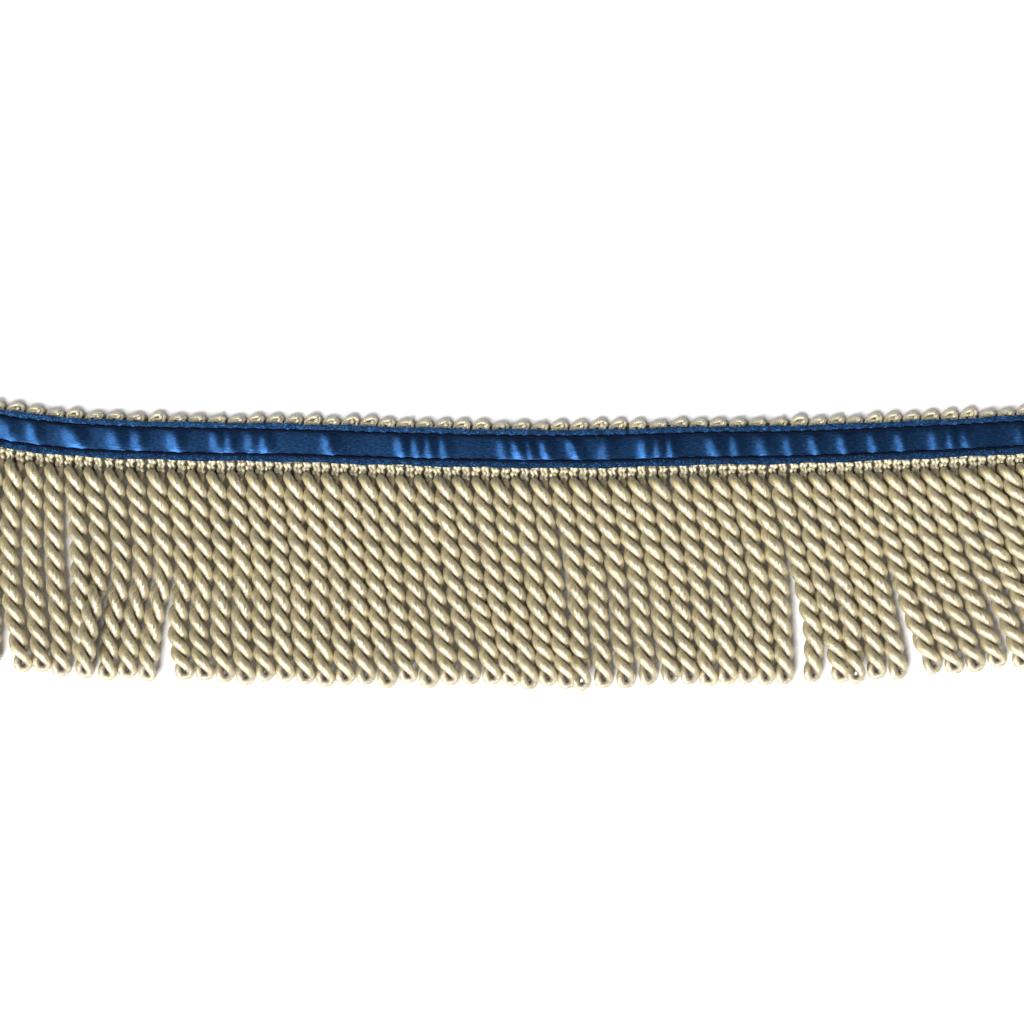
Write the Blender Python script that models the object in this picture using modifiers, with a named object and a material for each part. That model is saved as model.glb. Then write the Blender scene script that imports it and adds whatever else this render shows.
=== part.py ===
"""Cord fringe trim: a cut length, laid flat on its back with its face up.

Three pieces make it: a woven heading with a scalloped upper edge, a satin ribbon sewn along the heading, and
a skirt of thick twisted cords that comes out of the heading's lower edge. The trim runs along X, the cords
reach towards -Y, and the face looks along +Z. The origin is on the heading's back, at the middle of the
length and under the ribbon's centre line. Heading and cords rest on Z = 0.

The whole length bows a little, and the cords lie in clumps that lean more and more towards the right-hand
end. Both are set by the tables below, whose columns are in millimetres.
"""

from collections import namedtuple
import math
import random

import bmesh
import bpy
from mathutils import Vector

MM = 0.001

# Skirt: one cord for each scallop of the heading
CORD_COUNT = 56
CORD_PITCH = 4.86 * MM
FIRST_CORD_X = -134.2 * MM
CORD_LENGTH = 51.7 * MM
CORD_LENGTH_SPREAD = 0.7 * MM
CORD_WIDTH = 4.3 * MM
CORD_HEIGHT = 4.6 * MM
CORD_CORNER = 1.3 * MM
CORD_BED = 1.0 * MM
CORD_NESTING = 0.65

# Rail that joins the cords just below the heading
RAIL_DEPTH = 2.4 * MM
RAIL_THICKNESS = 2.2 * MM
RAIL_LIFT = 0.4 * MM
ROOT_INSET = 0.5 * MM

# Heading, measured up and down from the ribbon's centre line
HEADING_ABOVE = 5.3 * MM
HEADING_BELOW = 7.7 * MM
HEADING_THICKNESS = 2.0 * MM
SCALLOP_RISE = 1.7 * MM
SCALLOP_SPREAD = 0.5 * MM
SCALLOP_POINTS = 5

# Ribbon
RIBBON_WIDTH = 9.6 * MM
RIBBON_THICKNESS = 1.0 * MM
RIBBON_STATIONS = 112
GAP = 0.3 * MM

SEED = 7

# How far the centre line rises above its lowest place, along the length
Bend = namedtuple("Bend", "place rise")
BOW = (
    Bend(-140.0, 7.4),
    Bend(-128.0, 5.2),
    Bend(-118.0, 3.8),
    Bend(-103.0, 2.6),
    Bend(-80.0, 1.9),
    Bend(-58.0, 1.6),
    Bend(-38.0, 1.0),
    Bend(-13.0, 0.3),
    Bend(10.0, 0.0),
    Bend(28.0, 0.2),
    Bend(47.0, 0.8),
    Bend(70.0, 1.1),
    Bend(92.0, 1.9),
    Bend(112.0, 2.8),
    Bend(128.0, 3.7),
    Bend(140.0, 4.6),
)

# How a clump of cords lies: how far its root is off the even pitch, and how far to the right of the root the
# cord lies at the middle, low down and at its tip. The cords between two rows lie between them.
Lie = namedtuple("Lie", "cord root middle low tip")
CLUMPS = (
    Lie(1, 0.0, -2.0, -0.8, 2.0),
    Lie(3, 0.0, -1.2, 0.2, 2.7),
    Lie(5, 0.2, 0.2, 1.5, 2.0),
    Lie(6, 0.2, 1.7, 1.5, 2.6),
    Lie(7, 0.2, 2.0, -0.4, -1.5),
    Lie(10, 1.4, 2.0, -0.9, -2.2),
    Lie(11, 1.6, 2.0, 0.4, 2.5),
    Lie(14, 1.9, 1.8, 1.5, 2.8),
    Lie(19, 1.3, 1.9, 2.7, 4.0),
    Lie(22, 0.6, 1.8, 3.6, 6.0),
    Lie(26, 0.0, 2.8, 6.0, 8.1),
    Lie(30, 0.1, 3.5, 5.0, 7.3),
    Lie(31, 0.1, 4.2, 5.0, 5.8),
    Lie(35, 0.2, 5.0, 6.5, 9.0),
    Lie(37, 1.0, 4.3, 6.2, 7.7),
    Lie(41, 1.1, 5.1, 6.3, 7.1),
    Lie(42, 1.5, 5.4, 8.6, 8.7),
    Lie(43, 1.9, 4.9, 8.0, 11.0),
    Lie(44, 1.6, 5.4, 8.4, 9.5),
    Lie(46, 1.1, 5.5, 8.8, 11.6),
    Lie(47, 1.1, 5.8, 10.6, 15.8),
    Lie(50, 0.7, 6.5, 12.6, 17.5),
    Lie(51, 0.6, 7.3, 14.4, 19.0),
    Lie(56, 0.0, 9.6, 18.0, 22.0),
)
MIDDLE_AT = 0.45
LOW_AT = 0.75
LOOK_AHEAD = 0.01

# How full the tube of a cord is along its way
Station = namedtuple("Station", "share fullness")
CORD_STATIONS = (
    Station(0.0, 1.0),
    Station(0.22, 1.0),
    Station(0.42, 1.0),
    Station(0.6, 1.0),
    Station(0.78, 1.0),
    Station(0.958, 0.95),
    Station(1.0, 0.45),
)

# Soft ridges that cross the ribbon where the sewing draws it in
Pucker = namedtuple("Pucker", "place width height")
PUCKERS = (
    Pucker(-127.0, 7.0, 0.30),
    Pucker(-110.0, 9.0, 0.40),
    Pucker(-97.0, 8.0, 0.30),
    Pucker(-84.0, 6.0, 0.35),
    Pucker(-67.0, 12.0, 0.40),
    Pucker(-46.0, 5.0, 0.30),
    Pucker(-22.0, 14.0, 0.40),
    Pucker(2.0, 9.0, 0.45),
    Pucker(15.0, 5.0, 0.40),
    Pucker(36.0, 9.0, 0.40),
    Pucker(53.0, 8.0, 0.35),
    Pucker(66.0, 9.0, 0.30),
    Pucker(82.0, 6.0, 0.40),
    Pucker(94.0, 8.0, 0.35),
    Pucker(109.0, 9.0, 0.40),
    Pucker(127.0, 6.0, 0.25),
)

LEFT_END = FIRST_CORD_X - CORD_PITCH / 2
RIGHT_END = LEFT_END + CORD_COUNT * CORD_PITCH


def clear_scene():
    for old in list(bpy.data.objects):
        bpy.data.objects.remove(old, do_unlink=True)


def new_collection(name):
    collection = bpy.data.collections.new(name)
    bpy.context.scene.collection.children.link(collection)
    return collection


def cloth_material(name, colour, roughness):
    material = bpy.data.materials.new(name)
    material.use_nodes = True
    shader = material.node_tree.nodes["Principled BSDF"]
    shader.inputs["Base Color"].default_value = (*colour, 1.0)
    shader.inputs["Roughness"].default_value = roughness
    shader.inputs["Metallic"].default_value = 0.0
    material.diffuse_color = (*colour, 1.0)
    return material


def smooth(knots, at):
    """Value at a place on the smooth curve through (place, value) knots, held level past both ends."""
    if at <= knots[0][0]:
        return knots[0][1]
    if at >= knots[-1][0]:
        return knots[-1][1]
    after = next(i for i, knot in enumerate(knots) if knot[0] > at)
    before = after - 1

    def slope(i):
        low, high = max(i - 1, 0), min(i + 1, len(knots) - 1)
        return (knots[high][1] - knots[low][1]) / (knots[high][0] - knots[low][0])

    span = knots[after][0] - knots[before][0]
    t = (at - knots[before][0]) / span
    return (
        knots[before][1] * (2 * t**3 - 3 * t**2 + 1)
        + slope(before) * span * (t**3 - 2 * t**2 + t)
        + knots[after][1] * (3 * t**2 - 2 * t**3)
        + slope(after) * span * (t**3 - t**2)
    )


def centre_y(x):
    """Y of the ribbon's centre line at a place along the trim."""
    return smooth(BOW, x / MM) * MM


def lie_of(number):
    """How one cord lies, in metres, blended between the rows of the clump table."""
    after = next(row for row in CLUMPS if row.cord >= number)
    before = next(row for row in reversed(CLUMPS) if row.cord <= number)
    share = (number - before.cord) / max(after.cord - before.cord, 1)
    blended = (a + (b - a) * share for a, b in zip(before[1:], after[1:]))
    return Lie(number, *(value * MM for value in blended))


class Cord:
    """One cord as it lies, from the heading, at share 0 of its way, to its looped tip, at share 1."""

    def __init__(self, number, length, before):
        lie = lie_of(number)
        self.before = before
        self.root_x = FIRST_CORD_X + (number - 1) * CORD_PITCH + lie.root
        self.root_y = centre_y(self.root_x) - HEADING_BELOW - GAP - ROOT_INSET
        self.depth = math.sqrt(length**2 - lie.tip**2)
        self.aside = ((0.0, 0.0), (MIDDLE_AT, lie.middle), (LOW_AT, lie.low), (1.0, lie.tip))

    def line(self, share):
        """Where its centre line is, seen from above."""
        return Vector((self.root_x + smooth(self.aside, share), self.root_y - self.depth * share))

    def lift(self, share):
        """How high it lies: it climbs on the cord before it where the two close up."""
        if self.before is None:
            return 0.0
        run = self.line(min(share + LOOK_AHEAD, 1.0)) - self.line(max(share - LOOK_AHEAD, 0.0))
        apart = (self.line(share).x - self.before.line(share).x) * abs(run.y) / run.length
        closeness = 1 - apart / CORD_WIDTH
        if closeness <= 0:
            return 0.0
        return self.before.lift(share) + CORD_NESTING * CORD_HEIGHT * closeness * (2 - closeness)

    def place(self, share):
        return Vector((*self.line(share), self.lift(share)))


def lay_cords():
    """Every cord, in order from the left."""
    rng = random.Random(SEED)
    cords = []
    for number in range(1, CORD_COUNT + 1):
        length = CORD_LENGTH + rng.uniform(-1, 1) * CORD_LENGTH_SPREAD
        cords.append(Cord(number, length, cords[-1] if cords else None))
    return cords


def cord_profile(collection):
    """Closed outline of a cord's section, flat where it lies. It stands on its own origin."""
    half, bed = CORD_WIDTH / 2, CORD_BED
    right_side = (
        (bed, 0.0),
        (half, CORD_CORNER),
        (half, CORD_HEIGHT - CORD_CORNER),
        (half - CORD_CORNER, CORD_HEIGHT),
    )
    outline = list(right_side) + [(-x, y) for x, y in reversed(right_side)]
    curve = bpy.data.curves.new("cord_section", "CURVE")
    curve.dimensions = "2D"
    spline = curve.splines.new("POLY")
    spline.points.add(len(outline) - 1)
    for point, (x, y) in zip(spline.points, outline):
        point.co = (x, y, 0.0, 1.0)
    spline.use_cyclic_u = True
    section = bpy.data.objects.new("cord_section", curve)
    section.hide_render = True
    section.display_type = "WIRE"
    collection.objects.link(section)
    return section


def mesh_from_curve(source, name, collection):
    """A mesh copy of a curve object with its caps welded on. The curve is removed."""
    graph = bpy.context.evaluated_depsgraph_get()
    mesh = bpy.data.meshes.new_from_object(source.evaluated_get(graph))
    cleaned = bmesh.new()
    cleaned.from_mesh(mesh)
    bmesh.ops.remove_doubles(cleaned, verts=cleaned.verts, dist=0.00001)
    bmesh.ops.recalc_face_normals(cleaned, faces=cleaned.faces)
    cleaned.to_mesh(mesh)
    cleaned.free()
    made = bpy.data.objects.new(name, mesh)
    made.matrix_world = source.matrix_world
    collection.objects.link(made)
    bpy.data.objects.remove(source, do_unlink=True)
    return made


def make_cord(name, cord, section, collection):
    """One cord as a plain tube along its route, narrowed at its looped tip."""
    curve = bpy.data.curves.new(name, "CURVE")
    curve.dimensions = "3D"
    curve.twist_mode = "Z_UP"
    curve.bevel_mode = "OBJECT"
    curve.bevel_object = section
    curve.use_fill_caps = True
    spline = curve.splines.new("POLY")
    spline.points.add(len(CORD_STATIONS) - 1)
    for point, station in zip(spline.points, CORD_STATIONS):
        point.co = (*cord.place(station.share), 1.0)
        point.radius = station.fullness
    tube = bpy.data.objects.new(name + "_line", curve)
    collection.objects.link(tube)
    bpy.context.view_layer.update()
    shape = mesh_from_curve(tube, name, collection)
    shape.hide_render = True
    shape.display_type = "WIRE"
    return shape


def outline_plate(name, outline, bottom, thickness, collection):
    """A flat plate of a closed (x, y) outline, from bottom upwards."""
    curve = bpy.data.curves.new(name, "CURVE")
    curve.dimensions = "2D"
    curve.fill_mode = "BOTH"
    curve.extrude = thickness / 2
    spline = curve.splines.new("POLY")
    spline.points.add(len(outline) - 1)
    for point, (x, y) in zip(spline.points, outline):
        point.co = (x, y, 0.0, 1.0)
    spline.use_cyclic_u = True
    plate = bpy.data.objects.new(name + "_outline", curve)
    plate.location.z = bottom + thickness / 2
    collection.objects.link(plate)
    bpy.context.view_layer.update()
    return mesh_from_curve(plate, name, collection)


def edge_points(offset, count):
    """Points along the trim at an offset from its centre line, left to right."""
    places = (LEFT_END + (RIGHT_END - LEFT_END) * i / count for i in range(count + 1))
    return [(x, centre_y(x) + offset) for x in places]


def scalloped_edge():
    """The heading's upper edge, right to left: one low arch of yarn over each cord."""
    rng = random.Random(SEED)
    points = []
    for scallop in range(CORD_COUNT):
        rise = SCALLOP_RISE + rng.uniform(-1, 1) * SCALLOP_SPREAD
        for step in range(SCALLOP_POINTS):
            share = step / SCALLOP_POINTS
            x = RIGHT_END - (scallop + share) * CORD_PITCH
            points.append((x, centre_y(x) + HEADING_ABOVE + rise * math.sin(math.pi * share)))
    points.append((LEFT_END, centre_y(LEFT_END) + HEADING_ABOVE))
    return points


def make_heading(collection):
    outline = edge_points(-HEADING_BELOW, CORD_COUNT) + scalloped_edge()
    heading = outline_plate("heading", outline, 0.0, HEADING_THICKNESS, collection)
    heading.data.materials.append(cloth_material("heading_yarn", (0.60, 0.50, 0.32), 0.6))
    return heading


def pucker_height(x):
    rise = sum(p.height * math.exp(-(((x / MM - p.place) / (p.width / 2)) ** 2)) for p in PUCKERS)
    return rise * MM


def make_ribbon(collection):
    """A thin sheet over the heading that follows the bow, with soft puckers across it."""
    bpy.ops.mesh.primitive_grid_add(x_subdivisions=RIBBON_STATIONS, y_subdivisions=1, size=1.0)
    ribbon = bpy.context.active_object
    ribbon.name = "ribbon"
    middle = (LEFT_END + RIGHT_END) / 2
    base = HEADING_THICKNESS + GAP
    for vertex in ribbon.data.vertices:
        x = middle + vertex.co.x * (RIGHT_END - LEFT_END)
        y = centre_y(x) + vertex.co.y * RIBBON_WIDTH
        vertex.co = (x, y, base + pucker_height(x))
    wall = ribbon.modifiers.new("thickness", "SOLIDIFY")
    wall.thickness = RIBBON_THICKNESS
    wall.offset = 1.0
    for home in list(ribbon.users_collection):
        home.objects.unlink(ribbon)
    collection.objects.link(ribbon)
    ribbon.data.materials.append(cloth_material("satin_ribbon", (0.02, 0.09, 0.28), 0.35))
    return ribbon


def make_skirt(collection, shapes):
    """The comb: a low rail along the heading's lower edge with every cord joined to it."""
    top = HEADING_BELOW + GAP
    upper = edge_points(-top, CORD_COUNT)
    lower = edge_points(-top - RAIL_DEPTH, CORD_COUNT)
    outline = lower + upper[::-1]
    skirt = outline_plate("bullion_skirt", outline, RAIL_LIFT, RAIL_THICKNESS, collection)
    section = cord_profile(bpy.context.scene.collection)
    for number, cord in enumerate(lay_cords(), start=1):
        make_cord(f"cord_{number:02d}", cord, section, shapes)
    bpy.data.objects.remove(section, do_unlink=True)
    join = skirt.modifiers.new("cords", "BOOLEAN")
    join.operation = "UNION"
    join.operand_type = "COLLECTION"
    join.collection = shapes
    join.solver = "EXACT"
    skirt.data.materials.append(cloth_material("bullion_cord", (0.66, 0.55, 0.36), 0.5))
    return skirt


def main():
    clear_scene()
    trim = new_collection("cord_fringe_trim")
    shapes = new_collection("cord_shapes")
    shapes.hide_render = True
    make_heading(trim)
    make_ribbon(trim)
    make_skirt(trim, shapes)


main()
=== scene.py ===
"""Looks of the cord fringe trim: yarns, satin ribbon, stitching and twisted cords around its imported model.

The trim lies on its back along X, with its face towards +Z and its cords towards -Y. The tables of the bow
and of the clumps of cords are those of the solid model, in millimetres, so that every piece lies in its
solid. A few rows of the clumps differ a little, where the cords show more than their plain solids do.
"""

from collections import namedtuple
import math
import random

import bpy
from bpy.props import FloatProperty, FloatVectorProperty, IntProperty, PointerProperty
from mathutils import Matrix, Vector
from mathutils.kdtree import KDTree


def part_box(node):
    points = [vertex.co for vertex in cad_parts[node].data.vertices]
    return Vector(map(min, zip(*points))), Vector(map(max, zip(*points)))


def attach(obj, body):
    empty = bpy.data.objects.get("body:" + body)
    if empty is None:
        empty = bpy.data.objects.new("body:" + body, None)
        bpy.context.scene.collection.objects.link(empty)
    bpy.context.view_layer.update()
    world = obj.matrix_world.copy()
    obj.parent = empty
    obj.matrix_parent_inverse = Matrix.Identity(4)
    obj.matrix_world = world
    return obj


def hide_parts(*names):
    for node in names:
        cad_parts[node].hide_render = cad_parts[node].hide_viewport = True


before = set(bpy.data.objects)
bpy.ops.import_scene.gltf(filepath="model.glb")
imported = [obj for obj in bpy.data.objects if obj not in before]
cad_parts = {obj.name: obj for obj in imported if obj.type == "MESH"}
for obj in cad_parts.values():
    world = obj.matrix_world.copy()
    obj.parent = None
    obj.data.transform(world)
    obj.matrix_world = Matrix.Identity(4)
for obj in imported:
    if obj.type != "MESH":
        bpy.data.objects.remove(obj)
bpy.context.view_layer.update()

bl_info = {
    "name": "Bullion Fringe Trim",
    "version": (1, 0, 0),
    "blender": (4, 5, 0),
    "location": "3D View > Sidebar > Fringe",
    "description": "Makes the yarns, the satin ribbon and the twisted cords of a fringe trim",
    "category": "Object",
}

MM = 0.001
BODY = "root"
SEED = 7

# ---------------------------------------------------------------- how the trim lies

CORD_COUNT = 56
CORD_PITCH = 4.86 * MM
FIRST_CORD_X = -134.2 * MM
CORD_LENGTH = 51.7 * MM
CORD_LENGTH_SPREAD = 0.7 * MM
CORD_WIDTH = 4.3 * MM
CORD_HEIGHT = 4.6 * MM
CORD_NESTING = 0.9
ROOT_BELOW = 8.5 * MM
HEADING_ABOVE = 5.3 * MM
HEADING_BELOW = 7.7 * MM

# How far the centre line rises above its lowest place, along the length
Bend = namedtuple("Bend", "place rise")
BOW = (
    Bend(-140.0, 7.4),
    Bend(-128.0, 5.2),
    Bend(-118.0, 3.8),
    Bend(-103.0, 2.6),
    Bend(-80.0, 1.9),
    Bend(-58.0, 1.6),
    Bend(-38.0, 1.0),
    Bend(-13.0, 0.3),
    Bend(10.0, 0.0),
    Bend(28.0, 0.2),
    Bend(47.0, 0.8),
    Bend(70.0, 1.1),
    Bend(92.0, 1.9),
    Bend(112.0, 2.8),
    Bend(128.0, 3.7),
    Bend(140.0, 4.6),
)

# How a clump of cords lies: how far its root is off the even pitch, and how far to the right of the root the
# cord lies at the middle, low down and at its tip. The cords between two rows lie between them.
Lie = namedtuple("Lie", "cord root middle low tip")
CLUMPS = (
    Lie(1, 0.0, -2.0, -1.2, -1.0),
    Lie(2, 0.0, -1.6, -0.7, -1.2),
    Lie(3, 0.0, -1.2, 0.2, 2.7),
    Lie(5, 0.2, 0.2, 1.5, 2.0),
    Lie(6, 0.2, 1.7, 1.8, 3.2),
    Lie(7, 0.2, 2.0, -0.4, -1.5),
    Lie(10, 1.4, 2.0, -0.9, -2.2),
    Lie(11, 1.6, 2.0, 0.4, 2.5),
    Lie(14, 1.9, 1.8, 1.5, 2.8),
    Lie(19, 1.3, 1.9, 2.7, 4.0),
    Lie(22, 0.6, 1.8, 3.6, 6.0),
    Lie(26, 0.0, 2.8, 6.0, 8.1),
    Lie(30, 0.1, 3.5, 5.0, 7.3),
    Lie(31, 0.1, 4.2, 5.0, 5.8),
    Lie(35, 0.2, 5.0, 6.5, 9.0),
    Lie(37, 1.0, 4.3, 6.2, 7.7),
    Lie(41, 1.1, 5.1, 6.3, 7.1),
    Lie(42, 1.5, 5.4, 8.6, 8.7),
    Lie(43, 1.9, 4.9, 8.0, 11.0),
    Lie(44, 1.6, 5.4, 8.4, 9.5),
    Lie(46, 1.1, 5.5, 8.8, 11.6),
    Lie(47, 1.1, 5.8, 10.6, 15.8),
    Lie(50, 0.7, 6.5, 12.6, 17.5),
    Lie(51, 0.6, 7.3, 14.4, 19.0),
    Lie(56, 0.0, 9.6, 18.0, 22.0),
)
MIDDLE_AT = 0.45
LOW_AT = 0.75
LOOK_AHEAD = 0.01

LEFT_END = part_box("heading")[0][0]
RIGHT_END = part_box("heading")[1][0]
TRIM_LENGTH = RIGHT_END - LEFT_END


def smooth(knots, at):
    """Value at a place on the smooth curve through (place, value) knots, held level past both ends."""
    if at <= knots[0][0]:
        return knots[0][1]
    if at >= knots[-1][0]:
        return knots[-1][1]
    after = next(i for i, knot in enumerate(knots) if knot[0] > at)
    before = after - 1

    def slope(i):
        low, high = max(i - 1, 0), min(i + 1, len(knots) - 1)
        return (knots[high][1] - knots[low][1]) / (knots[high][0] - knots[low][0])

    span = knots[after][0] - knots[before][0]
    t = (at - knots[before][0]) / span
    return (
        knots[before][1] * (2 * t**3 - 3 * t**2 + 1)
        + slope(before) * span * (t**3 - 2 * t**2 + t)
        + knots[after][1] * (3 * t**2 - 2 * t**3)
        + slope(after) * span * (t**3 - t**2)
    )


def ease(share):
    """0 to 1 with a soft start and a soft end."""
    share = min(max(share, 0.0), 1.0)
    return share * share * (3 - 2 * share)


def centre_y(x):
    """Y of the ribbon's centre line at a place along the trim."""
    return smooth(BOW, x / MM) * MM


def lie_of(number):
    """How one cord lies, in metres, blended between the rows of the clump table."""
    after = next(row for row in CLUMPS if row.cord >= number)
    before = next(row for row in reversed(CLUMPS) if row.cord <= number)
    share = (number - before.cord) / max(after.cord - before.cord, 1)
    blended = (a + (b - a) * share for a, b in zip(before[1:], after[1:]))
    return Lie(number, *(value * MM for value in blended))


class Cord:
    """One cord as it lies, from the heading, at share 0 of its way, to its looped tip, at share 1."""

    def __init__(self, number, length, before):
        lie = lie_of(number)
        self.before = before
        self.root_x = FIRST_CORD_X + (number - 1) * CORD_PITCH + lie.root
        self.root_y = centre_y(self.root_x) - ROOT_BELOW
        self.depth = math.sqrt(length**2 - lie.tip**2)
        self.aside = ((0.0, 0.0), (MIDDLE_AT, lie.middle), (LOW_AT, lie.low), (1.0, lie.tip))

    def line(self, share):
        """Where its centre line is, seen from above."""
        return Vector((self.root_x + smooth(self.aside, share), self.root_y - self.depth * share))

    def lift(self, share):
        """How high it lies: it climbs on the cord before it where the two close up."""
        if self.before is None:
            return 0.0
        run = self.line(min(share + LOOK_AHEAD, 1.0)) - self.line(max(share - LOOK_AHEAD, 0.0))
        apart = (self.line(share).x - self.before.line(share).x) * abs(run.y) / run.length
        closeness = 1 - apart / CORD_WIDTH
        if closeness <= 0:
            return 0.0
        climb = CORD_NESTING * CORD_HEIGHT * math.sqrt(closeness * (2 - closeness))
        return self.before.lift(share) + climb


def lay_cords():
    """Every cord, in order from the left."""
    rng = random.Random(SEED)
    cords = []
    for number in range(1, CORD_COUNT + 1):
        length = CORD_LENGTH + rng.uniform(-1, 1) * CORD_LENGTH_SPREAD
        cords.append(Cord(number, length, cords[-1] if cords else None))
    return cords


# ---------------------------------------------------------------- shader writing


class Value:
    """A shader socket that can be used in arithmetic. Each step adds a Math node."""

    def __init__(self, finish, socket):
        self.finish = finish
        self.socket = socket

    def math(self, operation, *others):
        return self.finish.node(
            "ShaderNodeMath", "Value", {"operation": operation}, dict(enumerate((self, *others)))
        )

    def __add__(self, other):
        return self.math("ADD", other)

    def __mul__(self, other):
        return self.math("MULTIPLY", other)

    def __sub__(self, other):
        return self.math("SUBTRACT", other)

    def __rsub__(self, other):
        return (self * -1) + other

    def __abs__(self):
        return self.math("ABSOLUTE")

    __radd__ = __add__

    def between(self, low, high):
        """0 below low, 1 above high, with a soft step between them."""
        settings = {"interpolation_type": "SMOOTHSTEP"}
        return self.finish.node(
            "ShaderNodeMapRange", "Result", settings, {"Value": self, "From Min": low, "From Max": high}
        )


class Finish:
    """A material and its nodes."""

    def __init__(self, name, **constants):
        self.material = bpy.data.materials.new(name)
        self.material.use_nodes = True
        self.tree = self.material.node_tree
        self.shader = self.tree.nodes["Principled BSDF"]
        for socket, value in constants.items():
            self.shader.inputs[socket.replace("_", " ")].default_value = value

    def node(self, kind, output, settings=None, sockets=None):
        """Adds any node, sets it up, fills its sockets with values or links, and gives one of its outputs."""
        added = self.tree.nodes.new(kind)
        for name, value in (settings or {}).items():
            if name == "stops":
                self.set_stops(added.color_ramp, value)
            else:
                setattr(added, name, value)
        for name, value in (sockets or {}).items():
            self.fill(self.pick(added.inputs, name), value)
        return Value(self, self.pick(added.outputs, output))

    @staticmethod
    def pick(sockets, name):
        if isinstance(name, int):
            return sockets[name]
        return next(s for s in sockets if name in (s.identifier, s.name) and s.enabled)

    @staticmethod
    def set_stops(ramp, stops):
        while len(ramp.elements) < len(stops):
            ramp.elements.new(1.0)
        for element, (place, colour) in zip(ramp.elements, stops):
            element.position = place
            element.color = (*colour, 1.0)

    def fill(self, socket, value):
        if isinstance(value, Value):
            self.tree.links.new(value.socket, socket)
        else:
            socket.default_value = value

    def drive(self, name, value):
        """Links a value to one of the shader's own sockets."""
        self.fill(self.shader.inputs[name], value)

    def uv(self):
        """The piece's own (along, across) coordinates, as two values."""
        vector = self.node("ShaderNodeUVMap", "UV", {"uv_map": "UVMap"})
        return (
            self.node("ShaderNodeSeparateXYZ", "X", sockets={"Vector": vector}),
            self.node("ShaderNodeSeparateXYZ", "Y", sockets={"Vector": vector}),
        )

    def place(self):
        """Where a point is on the trim, in metres."""
        return self.node("ShaderNodeTexCoord", "Object")

    def vector(self, x, y):
        return self.node("ShaderNodeCombineXYZ", "Vector", sockets={"X": x, "Y": y})

    def noise(self, vector, scale, detail=2.0, roughness=0.5):
        sockets = {"Vector": vector, "Scale": scale, "Detail": detail, "Roughness": roughness}
        return self.node("ShaderNodeTexNoise", "Fac", sockets=sockets)

    def blend(self, factor, first, second, how="MIX"):
        settings = {"data_type": "RGBA", "blend_type": how}
        sockets = {"Factor_Float": factor, "A_Color": first, "B_Color": second}
        return self.node("ShaderNodeMix", "Result_Color", settings, sockets)

    def ramp(self, factor, *stops):
        """A colour ramp of (place, colour) stops, read at a factor."""
        return self.node("ShaderNodeValToRGB", "Color", {"stops": stops}, {"Fac": factor})

    def bump(self, height, distance):
        """Raises the surface by a height of 0 to 1 times a distance."""
        sockets = {"Height": height, "Distance": distance, "Strength": 1.0}
        self.drive("Normal", self.node("ShaderNodeBump", "Normal", sockets=sockets))


def rgba(colour):
    return (*colour, 1.0)


# ---------------------------------------------------------------- mesh helpers


def deselect_all():
    bpy.ops.object.select_all(action="DESELECT")


def only(piece):
    """Makes one object the only selected and active one."""
    deselect_all()
    piece.select_set(True)
    bpy.context.view_layer.objects.active = piece


def thicken(piece, thickness, offset):
    """Gives a surface its thickness, to both sides at offset 0 and on top of it at offset 1."""
    only(piece)
    wall = piece.modifiers.new("thickness", "SOLIDIFY")
    wall.thickness = thickness
    wall.offset = offset
    bpy.ops.object.modifier_apply(modifier=wall.name)


def spun(name, strands, thickness, roundness):
    """A mesh of round yarns. Each strand is a list of (point, fullness)."""
    curve = bpy.data.curves.new(name, "CURVE")
    curve.dimensions = "3D"
    curve.bevel_depth = thickness / 2
    curve.bevel_resolution = roundness
    curve.use_fill_caps = True
    for strand in strands:
        spline = curve.splines.new("POLY")
        spline.points.add(len(strand) - 1)
        spline.points.foreach_set("co", [c for point, _ in strand for c in (*point, 1.0)])
        spline.points.foreach_set("radius", [fullness for _, fullness in strand])
        spline.use_smooth = True
    piece = bpy.data.objects.new(name, curve)
    bpy.context.scene.collection.objects.link(piece)
    only(piece)
    bpy.ops.object.convert(target="MESH")
    piece = bpy.context.active_object
    close_caps()
    return piece


def close_caps():
    """Joins the end caps of the active piece's yarns to their sides."""
    bpy.ops.object.mode_set(mode="EDIT")
    bpy.ops.mesh.select_all(action="SELECT")
    bpy.ops.mesh.remove_doubles(threshold=0.001 * MM)
    bpy.ops.object.mode_set(mode="OBJECT")


def rest_on_floor(piece):
    """Flattens the yarn a little where it lies on the floor."""
    for vertex in piece.data.vertices:
        vertex.co.z = max(vertex.co.z, 0.0)


def finish_piece(piece, finish):
    """Gives a piece its material and the body that it rides on."""
    piece.data.materials.clear()
    piece.data.materials.append(finish.material)
    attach(piece, BODY)


# ---------------------------------------------------------------- settings


class CordSettings(bpy.types.PropertyGroup):
    ply: FloatProperty(
        name="Ply thickness", description="Thickness of each of the two plies", default=2.68 * MM,
        unit="LENGTH", precision=5,
    )
    twist_radius: FloatProperty(
        name="Twist radius", description="From a cord's middle to the middle of each ply",
        default=1.24 * MM, unit="LENGTH", precision=5,
    )
    loop: FloatProperty(
        name="Tip loop", description="How far the ply reaches past the twist where it turns back",
        default=2.1 * MM, unit="LENGTH", precision=5,
    )
    groups: IntProperty(
        name="Groups", description="How many meshes the cords are joined into", default=4
    )
    steps: IntProperty(
        name="Steps", description="Points along each side of a cord's twist", default=116
    )
    colour: FloatVectorProperty(
        name="Colour", description="Champagne yarn of the cords", subtype="COLOR",
        default=(0.47, 0.385, 0.18),
    )


class HeadingSettings(bpy.types.PropertyGroup):
    strand: FloatProperty(
        name="Strand thickness", description="Width of each of the two strands of a column",
        default=1.16 * MM, unit="LENGTH", precision=5,
    )
    colour: FloatVectorProperty(
        name="Colour", description="Champagne yarn of the heading", subtype="COLOR",
        default=(0.74, 0.65, 0.385),
    )


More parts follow.
